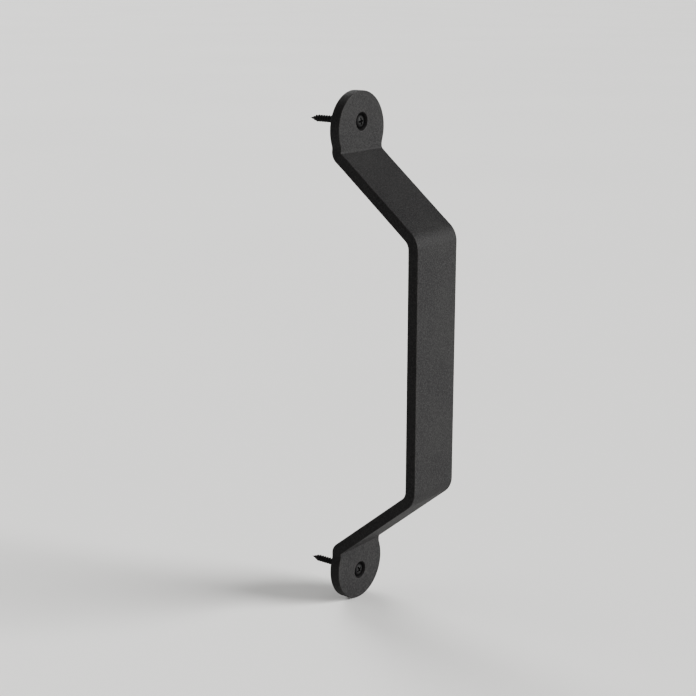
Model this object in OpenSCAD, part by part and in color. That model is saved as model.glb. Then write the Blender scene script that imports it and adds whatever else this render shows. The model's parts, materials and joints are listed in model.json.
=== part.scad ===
// Pull handle for a boarded door: one flat steel bar bent into a shallow bow, with a round foot at
// each end, and a countersunk wood screw that holds each foot to the door.
//
// Frame: the origin is on the door face, midway between the two screws. +Z runs up the handle, +X
// is to the right as seen from the room, and +Y goes into the door, so the grip stands off
// towards -Y. Lengths are in millimetres.

/* [Bow] */
// Length of the handle from end to end
overall_l = 300; // [280:1:330]
// Length of the grip, between the front corners of its two bends
grip_l = 149; // [120:1:165]
// Distance from the door to the front of the grip
reach = 58; // [45:1:70]
// Flat length of each foot, from its round end to the crease at its leg
foot_l = 33; // [32:1:38]

/* [Bar] */
// Thickness of the bar over its coat
bar_t = 6.3; // [5:0.1:7]
// Width of the bar along the legs and the grip
bar_w = 38; // [32:0.5:39]
// Width across each round foot
foot_d = 42; // [40:1:44]
// Radius of the hollow curve that narrows each foot to the bar
neck_r = 6; // [4:1:16]
// Inner radius of the crease between foot and leg
crease_r = 1.5; // [0.5:0.5:2]
// Inner radius of the bend between leg and grip
grip_bend_r = 6; // [3:1:9]

/* [Screw holes] */
// Distance from the end of each foot to the middle of its screw
hole_inset = 17; // [14:1:20]
// Diameter of the clearance hole through each foot
hole_d = 6.4; // [6.4:0.1:7]
// Diameter of the countersink at the front face
sink_d = 10.6; // [9:0.1:12]

/* [Screws] */
// Diameter of the plain shank, and of the thread over its crests
shank_d = 4; // [3.5:0.5:4]
// Diameter of the head
head_d = 7.8; // [7.5:0.1:8.4]
// Height of the head's raised centre above its rim
head_rise = 1.1; // [0.5:0.1:1.2]
// Length from the head's rim to the point
screw_l = 35; // [30:5:50]
// Length of the plain shank below the rim, head included
plain_l = 12; // [10:1:16]
// Distance from one thread crest to the next
thread_pitch = 1.8; // [1.4:0.1:2.2]

/* [Hidden] */
$fn = 96;

// Largest angle between two points of a curved outline.
arc_step = 3;
// How far a cutting shape runs past the face that it cuts.
overrun = 2;

// Bow: how far each leg leans away from the door, and where its two bends start and end.
lean = atan2(reach - bar_t, overall_l / 2 - foot_l - grip_l / 2);
grip_outer_r = grip_bend_r + bar_t;
crease_z = overall_l / 2 - foot_l + crease_r * tan(lean / 2);
grip_bend_z = grip_l / 2 - grip_outer_r * tan(lean / 2);
end_z = overall_l / 2 + overrun;
screw_z = overall_l / 2 - hole_inset;

// Feet: the centre of the round end, the centre of the hollow curve beside its neck, and the angle
// below the round end's middle at which the two curves meet.
foot_r = foot_d / 2;
foot_z = overall_l / 2 - foot_r;
hollow_x = bar_w / 2 + neck_r;
meet_angle = acos(hollow_x / (foot_r + neck_r));
hollow_z = foot_z - (foot_r + neck_r) * sin(meet_angle);

// Screws: the head's rim sits where the 90 degree countersink is as wide as the head.
seat_gap = 0.05;
rim_depth = (sink_d - head_d) / 2 - seat_gap;
head_h = (head_d - shank_d) / 2;
dome_r = (pow(head_d / 2, 2) + pow(head_rise, 2)) / (2 * head_rise);
root_r = shank_d * 0.35;
thread_flank = thread_pitch * 0.22;
tip_l = 5;
tip_r = 0.1;
thread_turns = floor((screw_l - plain_l) / thread_pitch);

// Cross recess of the screw head.
recess_l = head_d * 0.56;
recess_w = head_d * 0.13;
recess_depth = 2.2;
recess_core_d = head_d * 0.3;

// Points round an arc, from one angle to another, with one at its middle. With first = 1 it leaves
// out the point that the stretch before it has already placed.
function arc(centre, r, from, to, first = 0) =
    let (steps = 2 * ceil(abs(to - from) / 2 / arc_step))
    [
        for (i = [first : steps])
            let (angle = from + (to - from) * i / steps)
            centre + r * [cos(angle), sin(angle)]
    ];

// Side view of one surface of the bow, at this depth behind the front, from the upper end down to
// the grip. The door face is at x = 0, and the room is towards -x.
function upper_line(depth) = [
    [depth - bar_t, end_z],
    each arc([-bar_t - crease_r, crease_z], crease_r + depth, 0, -lean),
    each arc([grip_outer_r - reach, grip_bend_z], grip_outer_r - depth, 180 - lean, 180),
];

// Side view of everything that lies behind that surface.
module behind(depth) {
    upper = upper_line(depth);
    lower = [for (i = [len(upper) - 1 : -1 : 0]) [upper[i].x, -upper[i].y]];
    polygon([each upper, each lower, [overrun, -end_z], [overrun, end_z]]);
}

// The bent bar before its outline is cut, wider and longer than the feet.
module bent_sheet() {
    sheet_w = foot_d + 2 * overrun;
    translate([-sheet_w / 2, 0, 0]) rotate([90, 0, 90]) linear_extrude(sheet_w) difference() {
        behind(0);
        behind(bar_t);
    }
}

// Front view of the whole bar: up its right edge, round the upper foot, and the same turned over.
module bar_outline() {
    upper = [
        each arc([hollow_x, hollow_z], neck_r, 180, 180 - meet_angle),
        each arc([0, foot_z], foot_r, -meet_angle, 180 + meet_angle, first = 1),
        each arc([-hollow_x, hollow_z], neck_r, meet_angle, 0, first = 1),
    ];
    polygon([each upper, for (point = upper) -point]);
}

// Clearance hole and countersink of one foot, with the hole's axis along Y.
module screw_hole() {
    sink_depth = (sink_d - hole_d) / 2;
    rotate([90, 0, 0]) {
        translate([0, 0, -overrun]) cylinder(h = bar_t + 2 * overrun, d = hole_d);
        translate([0, 0, bar_t - sink_depth])
            cylinder(h = sink_depth + overrun, d1 = hole_d, d2 = sink_d + 2 * overrun);
    }
}

module handle_bar() {
    color([0.07, 0.07, 0.07]) difference() {
        intersection() {
            bent_sheet();
            translate([0, overrun, 0]) rotate([90, 0, 0]) linear_extrude(reach + 2 * overrun) bar_outline();
        }
        for (side = [-1, 1]) translate([0, 0, side * screw_z]) screw_hole();
    }
}

// Share of the full thread height that is left this far from the head's rim, as the point narrows.
function fullness(z) = min(1, (screw_l - z) / tip_l);

// Head, plain shank, thread crests and point, as one outline turned round the screw's axis.
module screw_body() {
    rotate_extrude() polygon([
        [0, 0],
        [head_d / 2, 0],
        [shank_d / 2, head_h],
        [shank_d / 2, plain_l],
        for (turn = [0 : thread_turns - 1], step = [0, 1, 2])
            let (z = plain_l + thread_flank + turn * thread_pitch + step * thread_flank)
            [(step == 1 ? shank_d / 2 : root_r) * fullness(z), z],
        [tip_r, screw_l],
        [0, screw_l],
    ]);
}

// Raised cap over the head's rim.
module head_dome() {
    intersection() {
        translate([0, 0, dome_r - head_rise]) sphere(r = dome_r);
        translate([0, 0, -head_rise]) cylinder(h = head_rise, d = head_d);
    }
}

module cross_recess() {
    translate([0, 0, -head_rise - overrun]) {
        for (turn = [0, 90]) rotate(turn)
            translate([-recess_l / 2, -recess_w / 2, 0])
                cube([recess_l, recess_w, recess_depth + overrun]);
        cylinder(h = recess_depth + overrun, d = recess_core_d);
    }
}

// One wood screw with its point into the door, seated in the foot's countersink.
module wood_screw() {
    color([0.13, 0.13, 0.13]) translate([0, rim_depth - bar_t, 0]) rotate([-90, 0, 0]) difference() {
        union() {
            screw_body();
            head_dome();
        }
        cross_recess();
    }
}

module upper_screw() {
    translate([0, 0, screw_z]) wood_screw();
}

module lower_screw() {
    translate([0, 0, -screw_z]) wood_screw();
}

handle_bar();
upper_screw();
lower_screw();
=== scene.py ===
"""Looks for the pull handle: the bent bar, its two screws, their finishes, a pale floor and the camera.

Everything is in metres in the CAD's frame: the origin is on the door face midway between the screws,
+Z runs up the handle, +X is to the right as seen from the room, and +Y goes into the door.
"""

import json
import math

import bmesh
import bpy
from mathutils import Matrix, Vector


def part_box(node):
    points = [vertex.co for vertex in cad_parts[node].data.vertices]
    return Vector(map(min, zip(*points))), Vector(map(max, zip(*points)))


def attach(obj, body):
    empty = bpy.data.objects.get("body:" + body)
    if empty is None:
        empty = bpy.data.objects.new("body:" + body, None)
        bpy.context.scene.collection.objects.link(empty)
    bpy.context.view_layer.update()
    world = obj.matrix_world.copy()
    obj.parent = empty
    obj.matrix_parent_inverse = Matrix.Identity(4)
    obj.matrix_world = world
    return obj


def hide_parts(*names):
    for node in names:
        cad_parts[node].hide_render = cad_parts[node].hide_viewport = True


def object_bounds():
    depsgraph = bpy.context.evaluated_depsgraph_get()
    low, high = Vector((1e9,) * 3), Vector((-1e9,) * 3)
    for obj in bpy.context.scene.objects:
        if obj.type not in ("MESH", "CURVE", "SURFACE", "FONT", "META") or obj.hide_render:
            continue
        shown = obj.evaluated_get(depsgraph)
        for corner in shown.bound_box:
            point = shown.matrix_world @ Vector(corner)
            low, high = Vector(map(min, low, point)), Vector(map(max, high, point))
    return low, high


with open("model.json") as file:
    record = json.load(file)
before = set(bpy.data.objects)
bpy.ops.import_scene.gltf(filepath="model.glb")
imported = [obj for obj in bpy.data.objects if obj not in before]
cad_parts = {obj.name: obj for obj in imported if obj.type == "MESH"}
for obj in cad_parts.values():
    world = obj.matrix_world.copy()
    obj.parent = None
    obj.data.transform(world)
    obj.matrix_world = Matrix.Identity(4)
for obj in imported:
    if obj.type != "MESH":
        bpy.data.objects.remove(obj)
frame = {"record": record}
cad_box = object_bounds()

MM = 0.001

# ---------- Sizes of the bar ----------

# From the CAD: the bar's box, and the distance between the screws.
bar_low, bar_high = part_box("handle_bar")
HALF_L = bar_high.z
REACH = -bar_low.y
FOOT_R = (bar_high.x - bar_low.x) / 2
SCREW_Z = frame["record"]["mounts"][0]["dims"]["pcd_mm"] / 2 * MM

# The same values as in the CAD.
BAR_T = 6.3 * MM
BAR_W = 38 * MM
GRIP_L = 149 * MM
FOOT_L = 33 * MM
NECK_R = 6 * MM
CREASE_R = 1.5 * MM
GRIP_BEND_R = 6 * MM
HOLE_R = 3.2 * MM
SINK_R = 5.3 * MM

# Detail that the CAD leaves out: the soft edges of the coated bar, the depth over which painted shade
# darkens the coat inside a hole, and the bulge of its side on the inside of each bend, where the steel is
# squeezed.
EDGE_R = 0.6 * MM
SINK_EDGE = 0.3 * MM
PAINTED_SHADE_FADE = 0.5 * MM
BULGE = 0.3 * MM
CREASE_BULGE_L = 3.5 * MM
GRIP_BULGE_L = 7 * MM
# The grip's bends are gentler, so they bulge this share as much as the creases.
GRIP_BULGE_SHARE = 0.5
# Power that keeps the bulge close to the sides of the bar.
BULGE_FOCUS = 8

# How finely the bar is divided.
EDGE_STEPS = 5
FACE_COLUMNS = 24
CREASE_STEPS = 14
GRIP_BEND_STEPS = 18
LEG_ROWS = 10
GRIP_ROWS = 12
ROUND_STEPS = 72
NECK_STEPS = 10
FOOT_RINGS = 6

# The bow, worked out as in the CAD.
LEAN = math.atan2(REACH - BAR_T, HALF_L - FOOT_L - GRIP_L / 2)
GRIP_OUTER_R = GRIP_BEND_R + BAR_T
CREASE_Z = HALF_L - FOOT_L + CREASE_R * math.tan(LEAN / 2)
GRIP_BEND_Z = GRIP_L / 2 - GRIP_OUTER_R * math.tan(LEAN / 2)
FOOT_Z = HALF_L - FOOT_R
HOLLOW_X = BAR_W / 2 + NECK_R
MEET_ANGLE = math.acos(HOLLOW_X / (FOOT_R + NECK_R))
HOLLOW_Z = FOOT_Z - (FOOT_R + NECK_R) * math.sin(MEET_ANGLE)


# ---------- Mesh tools ----------

# Angles between faces, in degrees, at which an edge starts to show wear and shows it fully. On the bar
# the lighter edge is partly wear and partly a painted highlight.
WEAR_FROM = 7
WEAR_FULL = 18


class Skin:
    """Points and faces of one mesh, built up loop by loop."""

    def __init__(self):
        self.points = []
        self.faces = []

    def loop(self, points):
        start = len(self.points)
        self.points.extend(points)
        return list(range(start, len(self.points)))

    def bridge(self, first, second, closed=True):
        """Quads between two loops that have the same number of points."""
        count = len(first)
        for i in range(count if closed else count - 1):
            j = (i + 1) % count
            self.faces.append((first[i], first[j], second[j], second[i]))

    def bridge_all(self, loops, closed=True):
        for first, second in zip(loops, loops[1:]):
            self.bridge(first, second, closed)

    def object(self, name, material):
        """The finished object, with shared points welded and all faces turned outwards."""
        mesh = bpy.data.meshes.new(name)
        mesh.from_pydata(self.points, [], self.faces)
        work = bmesh.new()
        work.from_mesh(mesh)
        bmesh.ops.remove_doubles(work, verts=work.verts, dist=0.001 * MM)
        bmesh.ops.recalc_face_normals(work, faces=work.faces)
        mark_edges(work)
        work.to_mesh(mesh)
        work.free()
        mesh.shade_smooth()
        mesh.materials.append(material)
        piece = bpy.data.objects.new(name, mesh)
        bpy.context.scene.collection.objects.link(piece)
        normals = piece.modifiers.new("Flat faces stay flat", "WEIGHTED_NORMAL")
        normals.keep_sharp = False
        return piece


def mark_edges(work):
    """Stores how sharply each point stands out, from 0 to 1, as the attribute that the wear follows; on
    the bar it also carries a painted highlight along the edges.
    """
    layer = work.verts.layers.float.new("edge")
    for vert in work.verts:
        angles = [e.calc_face_angle_signed(0) for e in vert.link_edges if len(e.link_faces) == 2]
        sharpest = math.degrees(max(angles))
        vert[layer] = min(1, max(0, (sharpest - WEAR_FROM) / (WEAR_FULL - WEAR_FROM)))


def spaced(start, end, steps):
    """Evenly spaced values from start to end, both included."""
    return [start + (end - start) * i / steps for i in range(steps + 1)]


def softened(corners, cut, steps=4):
    """A line of 2D points with each inner corner rounded off, starting this far before it."""
    line = [Vector(corners[0])]
    for before, corner, after in zip(corners, corners[1:], corners[2:]):
        corner = Vector(corner)
        start = corner + (Vector(before) - corner).normalized() * cut
        end = corner + (Vector(after) - corner).normalized() * cut
        for t in spaced(0, 1, steps):
            line.append(start * (1 - t) ** 2 + corner * 2 * t * (1 - t) + end * t ** 2)
    line.append(Vector(corners[-1]))
    return line


# ---------- The bar ----------

def edge_profile():
    """Round the bar's edge from front to back: how far inside the outline, and how deep."""
    corners = [(2 * EDGE_R, 0), (0, 0), (0, BAR_T), (2 * EDGE_R, BAR_T)]
    return softened(corners, EDGE_R, EDGE_STEPS)[1:-1]


def bulged(x, depth, from_crease, from_grip_bend=1.0):
    """x with the side's bulge at the bends; the last two are distances along the bar."""
    inside = 1 - 2 * depth / BAR_T
    swell = inside * math.exp(-((from_crease / CREASE_BULGE_L) ** 2))
    swell -= inside * math.exp(-((from_grip_bend / GRIP_BULGE_L) ** 2)) * GRIP_BULGE_SHARE
    near_side = (abs(x) / (BAR_W / 2)) ** BULGE_FOCUS
    return x + math.copysign(BULGE * near_side * swell, x)


def half_path():
    """Stations from the upper crease to the middle of the grip: a point on the front (y, z), and the
    direction into the bar."""
    stations = []
    crease = Vector((-BAR_T - CREASE_R, CREASE_Z))
    grip_bend = Vector((GRIP_OUTER_R - REACH, GRIP_BEND_Z))
    for angle in spaced(0, -LEAN, CREASE_STEPS):
        inward = Vector((math.cos(angle), math.sin(angle)))
        stations.append((crease + CREASE_R * inward, inward))
    bend = []
    for angle in spaced(math.pi - LEAN, math.pi, GRIP_BEND_STEPS):
        outward = Vector((math.cos(angle), math.sin(angle)))
        bend.append((grip_bend + GRIP_OUTER_R * outward, -outward))
    leg_start, leg_end = stations[-1][0], bend[0][0]
    for share in spaced(0, 1, LEG_ROWS)[1:-1]:
        stations.append((leg_start.lerp(leg_end, share), bend[0][1]))
    stations += bend
    for z in spaced(GRIP_BEND_Z, 0, GRIP_ROWS)[1:]:
        stations.append((Vector((-REACH, z)), Vector((1, 0))))
    return stations


def bar_lengths(stations):
    """Distance along the bar's middle from the crease's centre to each station."""
    middles = [front + inward * BAR_T / 2 for front, inward in stations]
    lengths = [-(CREASE_R + BAR_T / 2) * LEAN / 2]
    for first, second in zip(middles, middles[1:]):
        lengths.append(lengths[-1] + (second - first).length)
    return lengths


def outline(inset):
    """Front view (x, z) of the upper foot's edge, this far inside, from its right end to its left."""
    points = [(BAR_W / 2 - inset, CREASE_Z)]
    for angle in spaced(math.pi, math.pi - MEET_ANGLE, NECK_STEPS):
        r = NECK_R + inset
        points.append((HOLLOW_X + r * math.cos(angle), HOLLOW_Z + r * math.sin(angle)))
    for angle in spaced(-MEET_ANGLE, math.pi + MEET_ANGLE, ROUND_STEPS)[1:-1]:
        r = FOOT_R - inset
        points.append((r * math.cos(angle), FOOT_Z + r * math.sin(angle)))
    mirrored = [(-x, z) for x, z in reversed(points[:NECK_STEPS + 2])]
    return points + mirrored


def foot_point(x, z, depth):
    from_crease = -(z - CREASE_Z) - (CREASE_R + BAR_T / 2) * LEAN / 2
    return (bulged(x, depth, from_crease), depth - BAR_T, z)


def add_foot(skin):
    """The upper foot, with its countersunk hole, as far as the crease."""
    columns = spaced(-BAR_W / 2 + EDGE_R, BAR_W / 2 - EDGE_R, FACE_COLUMNS)[1:-1]
    border = outline(EDGE_R) + [(x, CREASE_Z) for x in columns]
    angles = [math.atan2(z - SCREW_Z, x) for x, z in border]

    throat = SINK_R - HOLE_R
    rim = 3 * SINK_EDGE
    hole = [(SINK_R + rim, 0), (SINK_R, 0), (HOLE_R, throat), (HOLE_R, BAR_T), (HOLE_R + rim, BAR_T)]
    hole_loops = []
    for r, depth in softened(hole, SINK_EDGE):
        ring = [(r * math.cos(a), SCREW_Z + r * math.sin(a)) for a in angles]
        hole_loops.append(skin.loop([foot_point(x, z, depth) for x, z in ring]))
    skin.bridge_all(hole_loops)

    for hole_r, depth in ((SINK_R + rim, 0), (HOLE_R + rim, BAR_T)):
        rings = []
        for share in spaced(0, 1, FOOT_RINGS):
            ring = []
            for (x, z), a in zip(border, angles):
                inner = Vector((hole_r * math.cos(a), SCREW_Z + hole_r * math.sin(a)))
                ring.append(inner.lerp(Vector((x, z)), share))
            rings.append(skin.loop([foot_point(x, z, depth) for x, z in ring]))
        skin.bridge_all(rings)

    edge = []
    for inset, depth in edge_profile():
        edge.append(skin.loop([foot_point(x, z, depth) for x, z in outline(inset)]))
    skin.bridge_all(edge, closed=False)


def add_bow(skin):
    """The crease, the leg, the grip's bend and the upper half of the grip."""
    across = spaced(BAR_W / 2 - EDGE_R, -BAR_W / 2 + EDGE_R, FACE_COLUMNS)
    side = edge_profile()[1:-1]
    section = [(x, 0) for x in across]
    section += [(inset - BAR_W / 2, depth) for inset, depth in side]
    section += [(-x, BAR_T) for x in across]
    section += [(BAR_W / 2 - inset, depth) for inset, depth in reversed(side)]

    stations = half_path()
    lengths = bar_lengths(stations)
    bend_start = CREASE_STEPS + LEG_ROWS
    bend_middle = (lengths[bend_start] + lengths[bend_start + GRIP_BEND_STEPS]) / 2
    loops = []
    for (front, inward), length in zip(stations, lengths):
        ring = []
        for x, depth in section:
            y, z = front + inward * depth
            ring.append((bulged(x, depth, length, length - bend_middle), y, z))
        loops.append(skin.loop(ring))
    skin.bridge_all(loops)


def mark_hole_shade(mesh):
    """Stores how deep inside a screw hole each point is, from 0 to 1, as the attribute "hollow", which
    paints shade into the hole.
    """
    layer = mesh.attributes.new("hollow", "FLOAT", "POINT")
    for vert, stored in zip(mesh.vertices, layer.data):
        x, y, z = vert.co
        in_hole = math.hypot(x, abs(z) - SCREW_Z) < SINK_R and y < -SINK_EDGE
        stored.value = min(1, (y + BAR_T) / PAINTED_SHADE_FADE) if in_hole else 0


def handle_bar(material):
    skin = Skin()
    add_foot(skin)
    add_bow(skin)
    count = len(skin.points)
    skin.points += [(x, y, -z) for x, y, z in skin.points]
    skin.faces += [tuple(i + count for i in reversed(face)) for face in skin.faces]
    bar = skin.object("handle_bar_coated", material)
    mark_hole_shade(bar.data)
    return bar


# ---------- The screws ----------

# The same values as in the CAD. The recess's length and width are half of the CAD's, rounded.
SHANK_R = 2 * MM
ROOT_R = 1.4 * MM
HEAD_RISE = 1.1 * MM
PLAIN_L = 12 * MM
THREAD_PITCH = 1.8 * MM
TIP_L = 5 * MM
RECESS_L = 2.18 * MM
RECESS_W = 0.51 * MM
RECESS_DEPTH = 2.2 * MM

# Detail that the CAD leaves out: the rounded rim, the recess's softened lip and pointed bottom, and the
# length over which the thread starts.
RIM_ROUND = 0.15 * MM
LIP = 0.06 * MM
PIT_CONE = 0.25 * MM
RUN_IN = 1.4 * MM
# How much the recess's arms shorten and narrow, as shares of its depth.
RECESS_TAPER_L = 0.5
RECESS_TAPER_W = 0.08
# Rounding of the arms, as shares of their half width: two points round each end, where the straight
# side starts, and the corner between two arms.
ARM_END = [(0, 0.45), (0.05, 0.8)]
ARM_SIDE_FROM = 0.3
ARM_CORNER = 0.12
CORNER_HOLLOW = 0.3
# Share of the head's radius at which painted shade from the hole starts to darken it.
RIM_SHADE_FROM = 0.5

# Points round the screw's axis, and where the loops of the recess and of the dome lie.
AROUND = 64
RECESS_LOOPS = (1, 0.97, 0.9, 0.7, 0.4, 0.15, 0.04)
DOME_LOOPS = (0, 0.08, 0.25, 0.5, 0.75, 1)
# One thread from root to root: share of the pitch, and share of the full height.
THREAD_SHAPE = [
    (0, 0), (0.18, 0), (0.28, 0.1), (0.36, 0.5), (0.43, 0.96), (0.45, 1),
    (0.48, 1), (0.5, 0.96), (0.57, 0.5), (0.65, 0.1), (0.76, 0), (1, 0),
]


def cross(length, width):
    """Outline of a cross recess, given half the length and width of its arms, in AROUND points."""
    corner = width + ARM_CORNER * width
    inner = width + ARM_CORNER * width * CORNER_HOLLOW
    half = [(length, 0)] + [(length - back * width, up * width) for back, up in ARM_END]
    half += [(x, width) for x in spaced(length - ARM_SIDE_FROM * width, corner, AROUND // 8 - 4)]
    half += [(inner, inner)]
    quarter = half + [(y, x) for x, y in reversed(half[1:-1])]
    points = []
    for turn in range(4):
        turned = Matrix.Rotation(turn * math.pi / 2, 2)
        points += [turned @ Vector(p) for p in quarter]
    return points


def circle(r):
    return [Vector((r * math.cos(a), r * math.sin(a))) for a in spaced(0, 2 * math.pi, AROUND)[:-1]]


def thread_r(depth, height):
    """Radius of the threaded part at this depth, with the thread standing at this share of its height."""
    start = min(1, max(0, (depth - PLAIN_L) / RUN_IN))
    core = SHANK_R + (ROOT_R - SHANK_R) * start * start * (3 - 2 * start)
    return core + (SHANK_R - core) * height


def mark_rim_shade(mesh, axis_x, axis_z, head_r):
    """Stores how near the rim of the head each point is, from 0 to 1, as the attribute "hollow", which
    paints shade onto the rim.
    """
    layer = mesh.attributes.new("hollow", "FLOAT", "POINT")
    for vert, stored in zip(mesh.vertices, layer.data):
        share = math.hypot(vert.co.x - axis_x, vert.co.z - axis_z) / head_r
        stored.value = max(0, (share - RIM_SHADE_FROM) / (1 - RIM_SHADE_FROM))


def wood_screw(name, node, turn, material):
    """One screw in the place of its CAD node, with its recess turned by this angle."""
    low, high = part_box(node)
    axis_x, axis_z = (low.x + high.x) / 2, (low.z + high.z) / 2
    head_r = (high.x - low.x) / 2
    rim_y = low.y + HEAD_RISE
    screw_l = high.y - rim_y
    dome_r = (head_r ** 2 + HEAD_RISE ** 2) / (2 * HEAD_RISE)
    skin = Skin()

    def dome(p):
        return dome_r - HEAD_RISE - math.sqrt(dome_r ** 2 - p.length_squared)

    def place(p, depth):
        spun = Matrix.Rotation(turn, 2) @ p
        return (axis_x + spun.x, rim_y + depth, axis_z + spun.y)

    def add(points, depth=None):
        return skin.loop([place(p, dome(p) if depth is None else depth) for p in points])

    # The recess, from its bottom up to the dome, then out to the rim.
    loops = []
    bottom = RECESS_DEPTH - HEAD_RISE
    mouth = cross(RECESS_L, RECESS_W)
    pit = cross(RECESS_L - RECESS_TAPER_L * RECESS_DEPTH, RECESS_W - RECESS_TAPER_W * RECESS_DEPTH)
    for share in RECESS_LOOPS:
        loops.append(skin.loop([
            place(outer.lerp(inner, share), dome(outer) * (1 - share) + bottom * share)
            for outer, inner in zip(mouth, pit)
        ]))
    lip = cross(RECESS_L + LIP, RECESS_W + LIP)
    rim = circle(head_r - RIM_ROUND)
    for share in DOME_LOOPS:
        loops.append(add([inner.lerp(outer, share) for inner, outer in zip(lip, rim)]))
    centre = skin.loop([place(Vector((0, 0)), bottom + PIT_CONE)])[0]
    skin.faces += [(loops[0][i], loops[0][(i + 1) % AROUND], centre) for i in range(AROUND)]

    # The rim, the countersunk underside and the plain shank.
    edge_x = head_r - RIM_ROUND
    edge = (edge_x, dome(Vector((edge_x, 0))))
    side = softened([edge, (head_r, 0), (SHANK_R, head_r - SHANK_R), (SHANK_R, PLAIN_L)], RIM_ROUND)
    for r, depth in side[1:-1]:
        loops.append(add(circle(r), depth))
    loops.append(add(circle(SHANK_R), PLAIN_L - RUN_IN / 2))
    skin.bridge_all(loops)

    # The thread is one strip that winds round the core, each turn welded to the one before.
    steps = round(((screw_l - PLAIN_L) / THREAD_PITCH - 1) * AROUND)
    pitch = (screw_l - PLAIN_L) / (steps / AROUND + 1)
    strip = []
    for step in range(steps + 1):
        angle = -2 * math.pi * step / AROUND
        row = []
        for share, height in THREAD_SHAPE:
            depth = PLAIN_L + (step / AROUND + share) * pitch
            r = thread_r(depth, height) * max(0, min(1, (screw_l - depth) / TIP_L))
            row.append(place(Vector((r * math.cos(angle), r * math.sin(angle))), depth))
        strip.append(skin.loop(row))
    skin.bridge_all(strip, closed=False)
    ring = loops[-1]
    for i in range(AROUND - 1):
        skin.faces.append((ring[-i], ring[-i - 1], strip[i + 1][0], strip[i][0]))
    skin.faces.append((ring[1], ring[0], *strip[0], strip[AROUND - 1][0]))
    tip = strip[-1][-1]
    for i in range(AROUND - 1, 1, -1):
        skin.faces.append((strip[-i - 1][-1], strip[-i][-1], tip))
    skin.faces.append((strip[-AROUND - 1][-1], strip[-AROUND][-1], tip, *reversed(strip[-1][1:-1])))
    screw = skin.object(name, material)
    mark_rim_shade(screw.data, axis_x, axis_z, head_r)
    return screw


# ---------- Materials ----------

class Finish:
    """A material whose nodes are added and joined in short calls."""

    def __init__(self, name):
        self.material = bpy.data.materials.new(name)
        self.material.use_nodes = True
        self.tree = self.material.node_tree
        self.shader = next(n for n in self.tree.nodes if n.type == "BSDF_PRINCIPLED")
        self.place = self.add("ShaderNodeTexCoord").outputs["Object"]

    def add(self, kind, **settings):
        node = self.tree.nodes.new(kind)
        for name, value in settings.items():
            setattr(node, name, value)
        return node

    def join(self, source, target):
        self.tree.links.new(source, target)

    def noise(self, size, detail=2.0, roughness=0.5):
        """Noise from 0 to 1 whose patches are about this wide, in metres."""
        node = self.add("ShaderNodeTexNoise")
        node.inputs["Scale"].default_value = 1 / size
        node.inputs["Detail"].default_value = detail
        node.inputs["Roughness"].default_value = roughness
        self.join(self.place, node.inputs["Vector"])
        return node.outputs["Fac"]

    def grains(self, size):
        """Distance to the nearest of scattered points, about this far apart, in metres."""
        node = self.add("ShaderNodeTexVoronoi", feature="SMOOTH_F1")
        node.inputs["Scale"].default_value = 1 / size
        node.inputs["Smoothness"].default_value = 0.6
        self.join(self.place, node.inputs["Vector"])
        return node.outputs["Distance"]

    def stored(self, name):
        """A value that the mesh stores at its points."""
        return self.add("ShaderNodeAttribute", attribute_name=name).outputs["Fac"]

    def remap(self, value, start, end, low, high):
        """value carried from the range start..end to the range low..high, and held there."""
        node = self.add("ShaderNodeMapRange")
        self.join(value, node.inputs["Value"])
        for name, number in (("From Min", start), ("From Max", end), ("To Min", low), ("To Max", high)):
            node.inputs[name].default_value = number
        return node.outputs["Result"]

    def maths(self, operation, first, second):
        node = self.add("ShaderNodeMath", operation=operation)
        for socket, value in zip(node.inputs, (first, second)):
            if isinstance(value, (int, float)):
                socket.default_value = value
            else:
                self.join(value, socket)
        return node.outputs["Value"]

    def blend(self, share, first, second):
        """A colour that goes from first to second as share goes from 0 to 1."""
        node = self.add("ShaderNodeMix", data_type="RGBA")
        self.join(share, node.inputs["Factor"])
        for socket, value in ((node.inputs[6], first), (node.inputs[7], second)):
            if isinstance(value, tuple):
                socket.default_value = (*value, 1)
            else:
                self.join(value, socket)
        return node.outputs[2]

    def bump(self, height, depth, strength, under=None):
        node = self.add("ShaderNodeBump")
        node.inputs["Distance"].default_value = depth
        node.inputs["Strength"].default_value = strength
        self.join(height, node.inputs["Height"])
        if under:
            self.join(under, node.inputs["Normal"])
        return node.outputs["Normal"]


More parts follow.
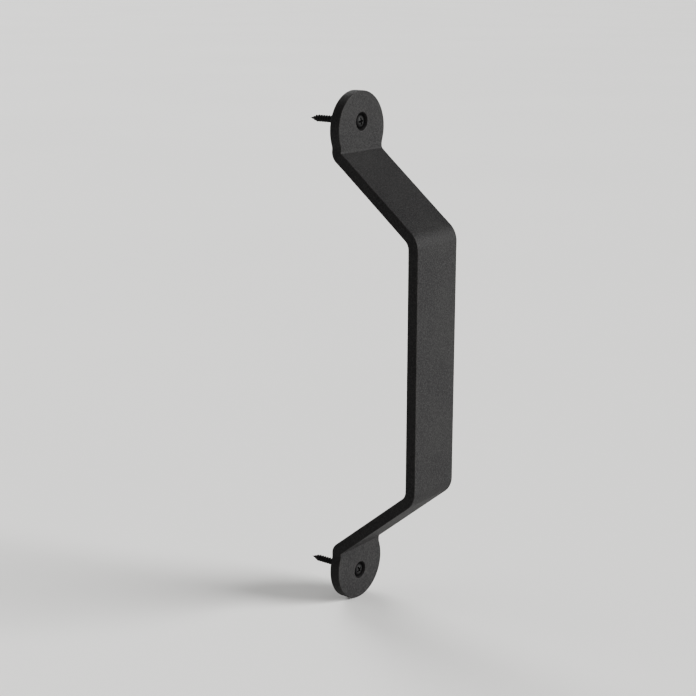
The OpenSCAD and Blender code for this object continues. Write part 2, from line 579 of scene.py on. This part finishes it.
def powder_coat():
    """Matte black powder coat: a fine sandy texture over a gentle orange peel, with painted shade in the
    holes.
    """
    dark, light = (0.017, 0.0165, 0.017), (0.023, 0.0225, 0.0225)
    sand_colour, rubbed, shadow = (0.043, 0.0425, 0.042), (0.055, 0.053, 0.051), (0.002, 0.002, 0.002)
    finish = Finish("black_powder_coat")
    shader = finish.shader.inputs
    drift = finish.noise(24 * MM, detail=3)
    speckle = finish.noise(0.75 * MM, detail=3, roughness=0.6)
    hollow = finish.stored("hollow")
    patches = finish.remap(finish.noise(5 * MM), 0.4, 0.65, 0.2, 1)
    worn = finish.maths("MULTIPLY", finish.stored("edge"), patches)

    shade = finish.remap(drift, 0.35, 0.65, 0, 1)
    coat = finish.blend(shade, dark, light)
    coat = finish.blend(finish.remap(speckle, 0.42, 0.7, 0, 0.8), coat, sand_colour)
    # Lighter along the sharp edges: partly wear of the coat, partly a painted highlight on its rounded
    # edges.
    coat = finish.blend(finish.maths("MULTIPLY", worn, 0.3), coat, rubbed)
    # Painted shade: deep in the screw holes the coat is blended to near black.
    finish.join(finish.blend(hollow, coat, shadow), shader["Base Color"])

    rough = finish.remap(drift, 0.3, 0.7, 0.60, 0.68)
    rough = finish.maths("SUBTRACT", rough, finish.maths("MULTIPLY", worn, 0.08))
    finish.join(rough, shader["Roughness"])
    # Painted shade: reflections are turned down deep in the screw holes.
    finish.join(finish.remap(hollow, 0, 1, 0.15, 0.01), shader["Specular IOR Level"])

    peel = finish.bump(finish.noise(2.2 * MM, detail=1), 0.06 * MM, 0.6)
    sand = finish.bump(finish.grains(0.7 * MM), 0.12 * MM, 0.8, under=peel)
    sand = finish.bump(speckle, 0.05 * MM, 0.6, under=sand)
    finish.join(sand, shader["Normal"])
    return finish.material


def screw_finish():
    """Black phosphate over steel, rubbed along the thread and the recess, with painted shade at the
    head's rim.
    """
    dark, light = (0.014, 0.014, 0.0145), (0.021, 0.0205, 0.0205)
    rubbed, shadow = (0.06, 0.058, 0.056), (0.001, 0.001, 0.001)
    finish = Finish("black_screw")
    shader = finish.shader.inputs
    cloud = finish.noise(1.2 * MM, detail=4)
    hollow = finish.stored("hollow")
    patches = finish.remap(finish.noise(0.8 * MM), 0.4, 0.65, 0.1, 1)
    worn = finish.maths("MULTIPLY", finish.stored("edge"), patches)

    shade = finish.remap(cloud, 0.35, 0.65, 0, 1)
    coat = finish.blend(shade, dark, light)
    coat = finish.blend(finish.maths("MULTIPLY", worn, 0.35), coat, rubbed)
    # Painted shade: towards its rim the head is blended to near black, and its reflections are turned
    # down there.
    finish.join(finish.blend(hollow, coat, shadow), shader["Base Color"])

    finish.join(finish.remap(cloud, 0.3, 0.7, 0.56, 0.66), shader["Roughness"])
    finish.join(finish.remap(hollow, 0, 1, 0.20, 0.01), shader["Specular IOR Level"])
    finish.join(finish.bump(finish.noise(0.18 * MM, detail=3), 0.012 * MM, 0.5), shader["Normal"])
    return finish.material


def floor_finish():
    """Pale matte studio board."""
    finish = Finish("studio_floor")
    shader = finish.shader.inputs
    cloud = finish.noise(0.6, detail=2)
    finish.join(finish.blend(cloud, (0.76, 0.755, 0.745), (0.80, 0.795, 0.785)), shader["Base Color"])
    shader["Roughness"].default_value = 0.9
    shader["Specular IOR Level"].default_value = 0.2
    return finish.material


# ---------- The object ----------

bar = handle_bar(powder_coat())
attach(bar, "root")
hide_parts("handle_bar")

SCREW_TURNS = {"upper_screw": math.radians(8), "lower_screw": math.radians(33)}
screw_material = screw_finish()
for node, turn in SCREW_TURNS.items():
    screw = wood_screw(node + "_threaded", node, turn, screw_material)
    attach(screw, "root")
    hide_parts(node)


# ---------- Floor, light and camera ----------

# Width of the floor, in metres.
FLOOR_SIZE = 40
# Width of the camera's sensor, in millimetres, and the nearest distance that it sees, in metres.
SENSOR_W = 36
CLIP_START = 0.01


def add_floor():
    mesh = bpy.data.meshes.new("floor")
    half = FLOOR_SIZE / 2
    level = cad_box[0].z
    corners = [(-half, -half, level), (half, -half, level), (half, half, level), (-half, half, level)]
    mesh.from_pydata(corners, [], [(0, 1, 2, 3)])
    mesh.materials.append(floor_finish())
    floor = bpy.data.objects.new("floor", mesh)
    bpy.context.scene.collection.objects.link(floor)


def add_soft_sun(name, place, spread, strength):
    """Even light from this direction, as from a very large soft box. The spread is in degrees."""
    light = bpy.data.lights.new(name, "SUN")
    light.energy = strength
    light.angle = math.radians(spread)
    lamp = bpy.data.objects.new(name, light)
    lamp.rotation_euler = (-Vector(place)).to_track_quat("-Z", "Y").to_euler()
    bpy.context.scene.collection.objects.link(lamp)


def add_surroundings(light, backdrop):
    """Even light of this strength from all round, and the plain backdrop seen above the floor."""
    world = bpy.data.worlds.new("studio")
    world.use_nodes = True
    tree = world.node_tree
    ambient = tree.nodes["Background"]
    seen = tree.nodes.new("ShaderNodeBackground")
    for background, strength in ((ambient, light), (seen, backdrop)):
        background.inputs["Color"].default_value = (1, 0.995, 0.985, 1)
        background.inputs["Strength"].default_value = strength
    choice = tree.nodes.new("ShaderNodeMixShader")
    rays = tree.nodes.new("ShaderNodeLightPath")
    tree.links.new(rays.outputs["Is Camera Ray"], choice.inputs["Fac"])
    tree.links.new(ambient.outputs["Background"], choice.inputs[1])
    tree.links.new(seen.outputs["Background"], choice.inputs[2])
    tree.links.new(choice.outputs["Shader"], tree.nodes["World Output"].inputs["Surface"])
    bpy.context.scene.world = world


def add_camera(place, yaw, pitch, roll, lens):
    """Looks along +Y turned by yaw towards +X and tipped down by pitch. Angles are in degrees, the lens
    in millimetres."""
    data = bpy.data.cameras.new("camera")
    data.lens = lens
    data.sensor_width = SENSOR_W
    data.clip_start = CLIP_START
    camera = bpy.data.objects.new("camera", data)
    level = Matrix.Rotation(math.radians(90 - pitch), 4, "X")
    heading = Matrix.Rotation(math.radians(-yaw), 4, "Z")
    tilt = Matrix.Rotation(math.radians(roll), 4, "Z")
    camera.matrix_world = Matrix.Translation(place) @ heading @ level @ tilt
    bpy.context.scene.collection.objects.link(camera)
    bpy.context.scene.camera = camera


add_floor()
add_surroundings(light=0.20, backdrop=0.65)
add_soft_sun("key", place=(0.45, -0.85, 0.33), spread=30, strength=4.6)
add_soft_sun("top", place=(0.45, 0.78, 0.44), spread=40, strength=1.4)
add_soft_sun("fill", place=(-0.50, 0.85, 0.15), spread=60, strength=0.7)
add_camera(place=(-0.6700, -0.5055, 0.2180), yaw=52.80, pitch=14.39, roll=0.117, lens=77.68)
bpy.context.scene.view_settings.view_transform = "Filmic"
bpy.context.scene.view_settings.look = "High Contrast"
